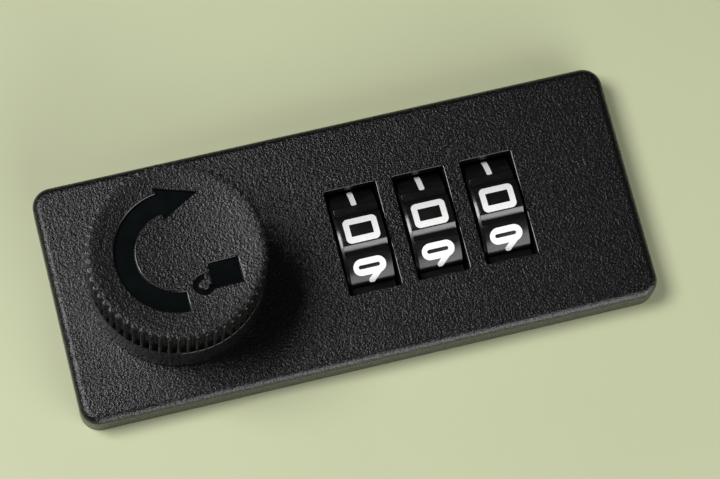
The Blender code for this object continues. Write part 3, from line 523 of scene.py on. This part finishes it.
def arrow_outline(grow):
    inner = 4.8 * MM - grow
    outer = 7.1 * MM + grow
    tail = math.radians(-90) + grow / (6 * MM)
    neck = math.radians(-263)
    tip = (3.74 * MM + grow * 2.0, 6.32 * MM - grow * 0.2)
    outer_barb = (-0.98 * MM - grow * 0.9, 7.79 * MM + grow * 1.1)
    inner_barb = (-0.48 * MM - grow * 0.9, 4.0 * MM - grow * 1.1)
    head = [outer_barb, tip, inner_barb]
    return arc(outer, tail, neck, 64) + head + arc(inner, neck, tail, 56)


def hook_outline(grow):
    start, end = math.radians(-15), math.radians(-285)
    return arc(1.2 * MM + grow, start, end, 32) + arc(0.65 * MM - grow, end, start, 24)


def body_outline(grow):
    return rounded_rect(1.7 * MM + grow, 1.5 * MM + grow, 0.12 * MM + grow, 3)


def knob_dish(x, y):
    """The knob's top is a shallow dish."""
    share = min(math.hypot(x - KNOB_X, y) / DISH_RADIUS, 1.0)
    return -DISH_DEPTH * (1 - share * share)


def make_knob():
    low = KNOB_LOW.z
    profile = [
        (0.0, low + HOLLOW_DEPTH),
        (HOLLOW_RADIUS, low + HOLLOW_DEPTH),
        (HOLLOW_RADIUS, low),
        (KNOB_SKIRT_RADIUS - 0.4 * MM, low),
        (KNOB_SKIRT_RADIUS - 0.12 * MM, low + 0.12 * MM),
        (KNOB_SKIRT_RADIUS, low + 0.4 * MM),
        (KNOB_SKIRT_RADIUS, KNURL_START - 0.08 * MM),
        (KNOB_SKIRT_RADIUS - 0.06 * MM, KNURL_START),
        (KNOB_RADIUS - 0.02 * MM, KNURL_START + 0.01 * MM),
        (KNOB_RADIUS, KNURL_START + 0.1 * MM),
        (KNOB_RADIUS, KNOB_TOP - RIM_ROUND),
    ]
    for step in range(1, 7):
        angle = math.pi / 2 * step / 6
        radius = KNOB_RADIUS - RIM_ROUND * (1 - math.cos(angle))
        profile.append((radius, KNOB_TOP - RIM_ROUND * (1 - math.sin(angle))))
    for radius in (9.6, 9.0, 8.2, 7.4, 6.6, 5.8, 5.0, 4.2, 3.4, 2.4, 1.2, 0.0):
        profile.append((radius * MM, KNOB_TOP))
    mesh = lathe_mesh("knob_shell", profile, KNURL_TEETH * 12, knurl_radius, (KNOB_X, 0))
    for vert in mesh.vertices:
        if vert.co.z > KNOB_TOP - 0.001 * MM:
            vert.co.z += knob_dish(vert.co.x, vert.co.y)
    knob = link("knob_shell", mesh, KNOB_BLACK, SIDE_BLACK)
    for polygon in mesh.polygons:
        reach = math.hypot(polygon.center.x - KNOB_X, polygon.center.y)
        on_side = reach > KNOB_RADIUS - 0.9 * RIM_ROUND or polygon.center.z < KNOB_TOP - 2 * MM
        polygon.material_index = int(on_side)
    floor = KNOB_TOP - ENGRAVING_DEPTH
    signs = [
        (arrow_outline, 0.0, 0.0),
        (body_outline, 4.86 * MM, -3.63 * MM),
        (hook_outline, 2.15 * MM, -4.45 * MM),
    ]
    tools = []
    for outline_at, x, y in signs:
        place = (KNOB_X + x, y)
        tools += sunk_tools(outline_at, floor, KNOB_TOP, ENGRAVING_LIP, FLOOR_BLACK, place, knob_dish)
    round_socket = arc(SOCKET_RADIUS, 0, TURN, 48)[:-1]
    flats = [(x, max(min(y, SOCKET_HALF_FLATS), -SOCKET_HALF_FLATS)) for x, y in round_socket]
    socket = moved(flats, KNOB_X, 0)
    tools.append(tool(loft_mesh("socket", [(low - 2 * MM, socket), (SOCKET_TOP, socket)]), SMOOTH_BLACK))
    centre = (KNOB_X, 0, 0)
    tools.append(turned_tool(THREAD_RADIUS, 12 * MM, THREAD_TOP, "Z", centre, 32, SMOOTH_BLACK))
    carve(knob, *tools)
    return piece(knob, "knob_assembly", ["knob"], 30, True)


make_knob()


# --- Number wheels -----------------------------------------------------------------------------

DIGITS = 10
DIGIT_STEP = TURN / DIGITS
PAD_HALF_ANGLE = math.radians(13.1)
GROOVE_DEPTH = 0.5 * MM
WHEEL_HALF_WIDTH = (WHEEL_HIGH.x - WHEEL_LOW.x) / 2
PAD_REACH = 2.62 * MM
LEDGE_REACH = 2.9 * MM
LEDGE_STEP = 0.20 * MM
LEDGE_DROP = 0.31 * MM
PAD_EDGE_ROUND = 0.06 * MM
INDEX_ANGLE = math.radians(7)


def wheel_outline(inset=0.0):
    """Ten pads with V grooves; the pads' edges are slightly rounded."""
    radius = WHEEL_RADIUS - inset
    points = []
    soft = math.radians(0.5)
    for digit in range(DIGITS):
        centre = INDEX_ANGLE + digit * DIGIT_STEP
        points.append(polar(radius - 0.07 * MM, centre - PAD_HALF_ANGLE - soft))
        points.append(polar(radius - 0.015 * MM, centre - PAD_HALF_ANGLE))
        points += arc(radius, centre - PAD_HALF_ANGLE + soft, centre + PAD_HALF_ANGLE - soft, 12)
        points.append(polar(radius - 0.015 * MM, centre + PAD_HALF_ANGLE))
        points.append(polar(radius - 0.07 * MM, centre + PAD_HALF_ANGLE + soft))
        points.append(polar(radius - GROOVE_DEPTH, centre + DIGIT_STEP / 2))
    return points


def ledge_outline(drop):
    """The round flange beside the pads, point for point with the pads' outline."""
    return [polar(WHEEL_RADIUS - drop, math.atan2(y, x)) for x, y in wheel_outline()]


def to_wheel(mesh, x):
    """Stands a mesh made about Z on the wheels' axis: its +X goes to +Z and its +Z to +X."""
    turn = Matrix(((0, 0, 1, 0), (0, 1, 0, 0), (1, 0, 0, 0), (0, 0, 0, 1)))
    mesh.transform(turn)
    mesh.flip_normals()
    mesh.transform(Matrix.Translation((x, 0, WHEEL_Z)))
    return mesh


def make_wheel(index):
    half = WHEEL_HALF_WIDTH
    rings = [
        (-LEDGE_REACH, ledge_outline(LEDGE_DROP)),
        (-PAD_REACH, ledge_outline(LEDGE_STEP)),
    ]
    for step in range(6):
        angle = math.pi / 2 * step / 5
        inset = PAD_EDGE_ROUND * (1 - math.sin(angle))
        rings.append((-PAD_REACH + PAD_EDGE_ROUND * (1 - math.cos(angle)), wheel_outline(inset)))
    for step in range(6):
        angle = math.pi / 2 * step / 5
        inset = PAD_EDGE_ROUND * (1 - math.cos(angle))
        rings.append((half - PAD_EDGE_ROUND * (1 - math.sin(angle)), wheel_outline(inset)))
    name = f"wheel_shell_{index + 1}"
    wheel = link(name, to_wheel(loft_mesh(name, rings), WHEEL_XS[index]), WHEEL_BLACK)
    place = (WHEEL_XS[index], 0, WHEEL_Z)
    rooms = [
        turned_tool(4.35 * MM, -half - 1 * MM, 0.1 * MM, "X", place, 48),
        turned_tool(3.3 * MM, -0.5 * MM, 2.5 * MM, "X", place, 48),
        turned_tool(5.6 * MM, 1.7 * MM, half + 1 * MM, "X", place, 48),
        turned_tool(6.4 * MM, -half - 1 * MM, -half, "X", place, 64),
    ]
    carve(wheel, *rooms)
    return piece(wheel, f"wheel_{index + 1}", [WHEEL_NAMES[index]], 28)


# --- Numerals: strokes on a flat sheet, cut to shape and wrapped round the wheel ----------------

# Numerals' own sizes, in mm
STROKE = 0.36
NUMERAL_GRID = 0.06
NUMERAL_HALF_WIDTH = 2.05
NUMERAL_HALF_HEIGHT = 1.55


def to_segment(p, a, b):
    """Distance from points p to the segment a-b."""
    a, b = np.array(a, float), np.array(b, float)
    along = b - a
    share = np.clip(((p - a) @ along) / max(along @ along, 1e-12), 0, 1)
    return np.linalg.norm(p - a - share[..., None] * along, axis=-1)


def stroke(p, points):
    pairs = list(zip(points, points[1:]))
    return np.min([to_segment(p, a, b) for a, b in pairs], axis=0) - STROKE


def box_field(p, half_x, half_y, radius):
    q = np.abs(p) - np.array([half_x - radius, half_y - radius])
    outside = np.linalg.norm(np.maximum(q, 0), axis=-1)
    return outside + np.minimum(np.max(q, axis=-1), 0) - radius


def nine_field(p):
    """A wide stadium with a slot, and a straight tail from its right end down to the left."""
    loop = to_segment(p, (-1.0, 0.40), (0.9, 0.40)) - 1.03
    tail = to_segment(p, (1.25, -0.02), (-0.05, -1.36)) - 0.36
    web = to_segment(p, (0.6, -0.1), (1.0, 0.1)) - 0.62
    slot = to_segment(p, (-1.15, 0.43), (0.95, 0.43)) - 0.24
    return np.maximum(np.minimum(np.minimum(loop, tail), web), -slot)


W = NUMERAL_HALF_WIDTH - STROKE
H = NUMERAL_HALF_HEIGHT - STROKE


def numeral_field(digit, p):
    """Below zero inside the numeral, in mm."""
    if digit == 0:
        outer = box_field(p, NUMERAL_HALF_WIDTH, NUMERAL_HALF_HEIGHT, 0.62)
        inner = box_field(p, NUMERAL_HALF_WIDTH - 0.70, NUMERAL_HALF_HEIGHT - 0.78, 0.03)
        return np.maximum(outer, -inner)
    if digit == 1:
        return box_field(p, 0.33, NUMERAL_HALF_HEIGHT - 0.05, 0.2)
    if digit in (6, 9):
        return nine_field(p if digit == 9 else -p)
    loops = {
        2: [[(-W, H * 0.75), (-W + 0.3, H), (W - 0.3, H), (W, H * 0.6), (W * 0.7, 0.1), (-W, -H), (W, -H)]],
        3: [[(-W, H), (W - 0.2, H), (W, H * 0.6), (W - 0.35, 0.05), (-0.6, 0.05)],
            [(W - 0.35, 0.05), (W, -H * 0.5), (W - 0.2, -H), (-W, -H)]],
        4: [[(0.4, H), (-W, -0.35), (W, -0.35)], [(0.75, 0.45), (0.75, -H)]],
        5: [[(W, H), (-W + 0.1, H), (-W, 0.2), (W - 0.4, 0.2), (W, -0.15), (W, -H * 0.65),
             (W - 0.35, -H), (-W, -H)]],
        7: [[(-W, H), (W, H), (-0.3, -H)]],
        8: [[(-W, 0.62), (-W + 0.35, H), (W - 0.35, H), (W, 0.62), (W - 0.35, 0.08),
             (-W + 0.35, 0.08), (-W, 0.62)],
            [(-W, -0.55), (-W + 0.35, 0.08), (W - 0.35, 0.08), (W, -0.55), (W - 0.35, -H),
             (-W + 0.35, -H), (-W, -0.55)]],
    }
    return np.min([stroke(p, points) for points in loops[digit]], axis=0)


def numeral_faces(digit):
    """The numeral's area as small polygons, in mm: grid squares, cut along its outline."""
    step = NUMERAL_GRID
    xs = np.arange(-NUMERAL_HALF_WIDTH - 2 * step, NUMERAL_HALF_WIDTH + 3 * step, step)
    ys = np.arange(-NUMERAL_HALF_HEIGHT - 2 * step, NUMERAL_HALF_HEIGHT + 3 * step, step)
    grid = np.stack(np.meshgrid(xs, ys, indexing="ij"), axis=-1)
    field = numeral_field(digit, grid)
    faces = []
    for i in range(len(xs) - 1):
        for j in range(len(ys) - 1):
            corners = [(i, j), (i + 1, j), (i + 1, j + 1), (i, j + 1)]
            values = [field[c] for c in corners]
            if min(values) >= 0:
                continue
            polygon = []
            for k in range(4):
                a, b = corners[k], corners[(k + 1) % 4]
                va, vb = values[k], values[(k + 1) % 4]
                if va < 0:
                    polygon.append(tuple(grid[a]))
                if (va < 0) != (vb < 0):
                    polygon.append(tuple(grid[a] + (grid[b] - grid[a]) * va / (va - vb)))
            if len(polygon) > 2:
                faces.append(polygon)
    return faces


NUMERAL_PROUD = 0.02 * MM
NUMERAL_SUNK = 0.12 * MM
NUMERAL_DROP = 0.12 * MM


def make_numerals(index):
    """All ten numerals of one wheel, as thin solids let into its pads."""
    bm = bmesh.new()
    for digit in range(DIGITS):
        known = {}
        sheet = []
        for polygon in numeral_faces(digit):
            verts = []
            for u, v in polygon:
                key = (round(u, 4), round(v, 4))
                if key not in known:
                    angle = INDEX_ANGLE + digit * DIGIT_STEP + (v * MM - NUMERAL_DROP) / WHEEL_RADIUS
                    radius = WHEEL_RADIUS + NUMERAL_PROUD
                    known[key] = bm.verts.new((
                        WHEEL_XS[index] + u * MM,
                        radius * math.sin(angle),
                        WHEEL_Z + radius * math.cos(angle),
                    ))
                if known[key] not in verts:
                    verts.append(known[key])
            if len(verts) > 2:
                sheet.append(bm.faces.new(verts))
        result = bmesh.ops.extrude_face_region(bm, geom=sheet, use_keep_orig=True)
        share = 1 - (NUMERAL_PROUD + NUMERAL_SUNK) / (WHEEL_RADIUS + NUMERAL_PROUD)
        for vert in (v for v in result["geom"] if isinstance(v, bmesh.types.BMVert)):
            vert.co.y *= share
            vert.co.z = WHEEL_Z + (vert.co.z - WHEEL_Z) * share
    name = f"numerals_{index + 1}"
    obj = link(name, to_mesh(name, bm), NUMERAL_WHITE)
    return piece(obj, f"wheel_{index + 1}", (), 40)


for wheel in range(len(WHEEL_XS)):
    make_wheel(wheel)
    make_numerals(wheel)


# --- Springs -----------------------------------------------------------------------------------


def coil_mesh(name, centre, radius, wire, start, end, turns):
    """A compression spring along X with closed ends."""
    closed = 0.9
    around = 14
    per_turn = 36
    pitch = 2.05 * wire
    first, last = start + wire, end - wire
    free = last - first - 2 * closed * pitch
    count = int(turns * per_turn)
    bm = bmesh.new()
    rings = []
    for step in range(count + 1):
        turned = turns * step / count
        along = first + pitch * min(turned, closed) + pitch * max(turned - (turns - closed), 0)
        along += free * min(max((turned - closed) / (turns - 2 * closed), 0), 1)
        angle = TURN * turned
        out = Vector((0, math.cos(angle), math.sin(angle)))
        core = Vector((along, centre[0], centre[1])) + out * radius
        ring = []
        for side in range(around):
            a = TURN * side / around
            offset = Vector((wire * math.sin(a), 0, 0))
            ring.append(bm.verts.new(core + out * wire * math.cos(a) + offset))
        rings.append(ring)
    for first_ring, second_ring in zip(rings, rings[1:]):
        for side in range(around):
            other = (side + 1) % around
            bm.faces.new((first_ring[side], first_ring[other], second_ring[other], second_ring[side]))
    bm.faces.new(rings[0][::-1])
    bm.faces.new(rings[-1])
    return to_mesh(name, bm)


def make_spring(name, node, radius, wire, turns):
    low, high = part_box(node)
    centre = ((low.y + high.y) / 2, (low.z + high.z) / 2)
    spring = link(name, coil_mesh(name, centre, radius, wire, low.x, high.x, turns), SPRING_STEEL)
    piece(spring, "lock_body", [node], 60)
    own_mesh(spring)


make_spring("reset_coil", "reset_spring", 2.25 * MM, 0.25 * MM, 6)
make_spring("fence_coil", "fence_spring", 1.0 * MM, 0.2 * MM, 9)


# --- CAD nodes that keep their own shape -------------------------------------------------------

KEPT = {
    "case": CASE_BLACK,
    "rotor": ZINC, "fence": ZINC,
    "knob_screw": STEEL, "cam": STEEL, "cam_nut": STEEL, "wheel_axle": STEEL,
    "clamp_bracket_1": STEEL, "clamp_bracket_2": STEEL, "clamp_screw_1": STEEL, "clamp_screw_2": STEEL,
    "case_screw_1": STEEL, "case_screw_2": STEEL, "case_screw_3": STEEL, "case_screw_4": STEEL,
    "thrust_washer": SPRING_STEEL, "cam_washer": SPRING_STEEL, "detent_spring": SPRING_STEEL,
    "code_sleeve_1": BRASS, "code_sleeve_2": BRASS, "code_sleeve_3": BRASS,
    "knob_washer": NYLON, "reset_slider": NYLON,
}
for node, material in KEPT.items():
    for material_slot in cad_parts[node].material_slots:
        material_slot.material = material


# --- Stage: a painted panel with the lock's cut-out, on pegs over a pale floor -----------------

PANEL_THICKNESS = 2.0 * MM
PANEL_HALF_X = 51 * MM
PANEL_HALF_Y = 40.5 * MM
PANEL_X = 3.7 * MM
PANEL_Y = 1.4 * MM
PEG_RADIUS = 3 * MM
PEG_INSET = 6 * MM
FLOOR_Z = CAD_BOX[0].z - 4 * MM
FLOOR_REACH = 3.0


def make_stage():
    outline = moved(rounded_rect(PANEL_HALF_X, PANEL_HALF_Y, 1.5 * MM, 6), PANEL_X, PANEL_Y)
    cut_out = rounded_rect(31.25 * MM, 12.0 * MM, 1.5 * MM, 6)
    under = -0.02 * MM
    panel = link("panel", loft_mesh("panel", [(-PANEL_THICKNESS, outline), (under, outline)]), PANEL_PAINT)
    carve(panel, tool(loft_mesh("cut_out", [(-5 * MM, cut_out), (3 * MM, cut_out)]), PANEL_PAINT))
    shade(panel, 30)
    profile = [
        (0, FLOOR_Z),
        (PEG_RADIUS + 0.4 * MM, FLOOR_Z),
        (PEG_RADIUS, FLOOR_Z + 1 * MM),
        (PEG_RADIUS, -PANEL_THICKNESS),
        (0, -PANEL_THICKNESS),
    ]
    for sx in (-1, 1):
        for sy in (-1, 1):
            x = PANEL_X + sx * (PANEL_HALF_X - PEG_INSET)
            y = PANEL_Y + sy * (PANEL_HALF_Y - PEG_INSET)
            peg_mesh = lathe_mesh("peg", profile, 32, centre=(x, y))
            peg = link(f"peg_{sx}_{sy}".replace("-1", "a"), peg_mesh, FLOOR_PAINT)
            shade(peg, 30)
    bm = bmesh.new()
    level = Matrix.Translation((0, 0, FLOOR_Z))
    bmesh.ops.create_grid(bm, x_segments=1, y_segments=1, size=FLOOR_REACH, matrix=level)
    link("floor", to_mesh("floor", bm), FLOOR_PAINT)


make_stage()


# --- Light -------------------------------------------------------------------------------------

LIGHT_DISTANCE = 0.50


def softbox(name, azimuth, elevation, size, power):
    """An area light aimed at the origin; azimuth 0 is +Y and 90 is +X."""
    light = bpy.data.lights.new(name, "AREA")
    light.shape = "RECTANGLE"
    light.size, light.size_y = size
    light.energy = power
    obj = bpy.data.objects.new(name, light)
    a, e = math.radians(azimuth), math.radians(elevation)
    direction = Vector((math.sin(a) * math.cos(e), math.cos(a) * math.cos(e), math.sin(e)))
    obj.location = direction * LIGHT_DISTANCE
    obj.rotation_mode = "QUATERNION"
    obj.rotation_quaternion = direction.to_track_quat("Z", "Y")
    bpy.context.scene.collection.objects.link(obj)
    return obj


softbox("key", -68, 57, (0.23, 0.23), 2.15)
softbox("front_low", 158, 10, (0.64, 0.20), 2.2)
softbox("front_high", 152, 33, (0.60, 0.20), 1.0)

world = bpy.data.worlds.new("world")
bpy.context.scene.world = world
world.use_nodes = True
background = world.node_tree.nodes["Background"]
background.inputs["Color"].default_value = (0.95, 0.97, 1.0, 1.0)
background.inputs["Strength"].default_value = 0.03
bpy.context.scene.view_settings.view_transform = "Standard"
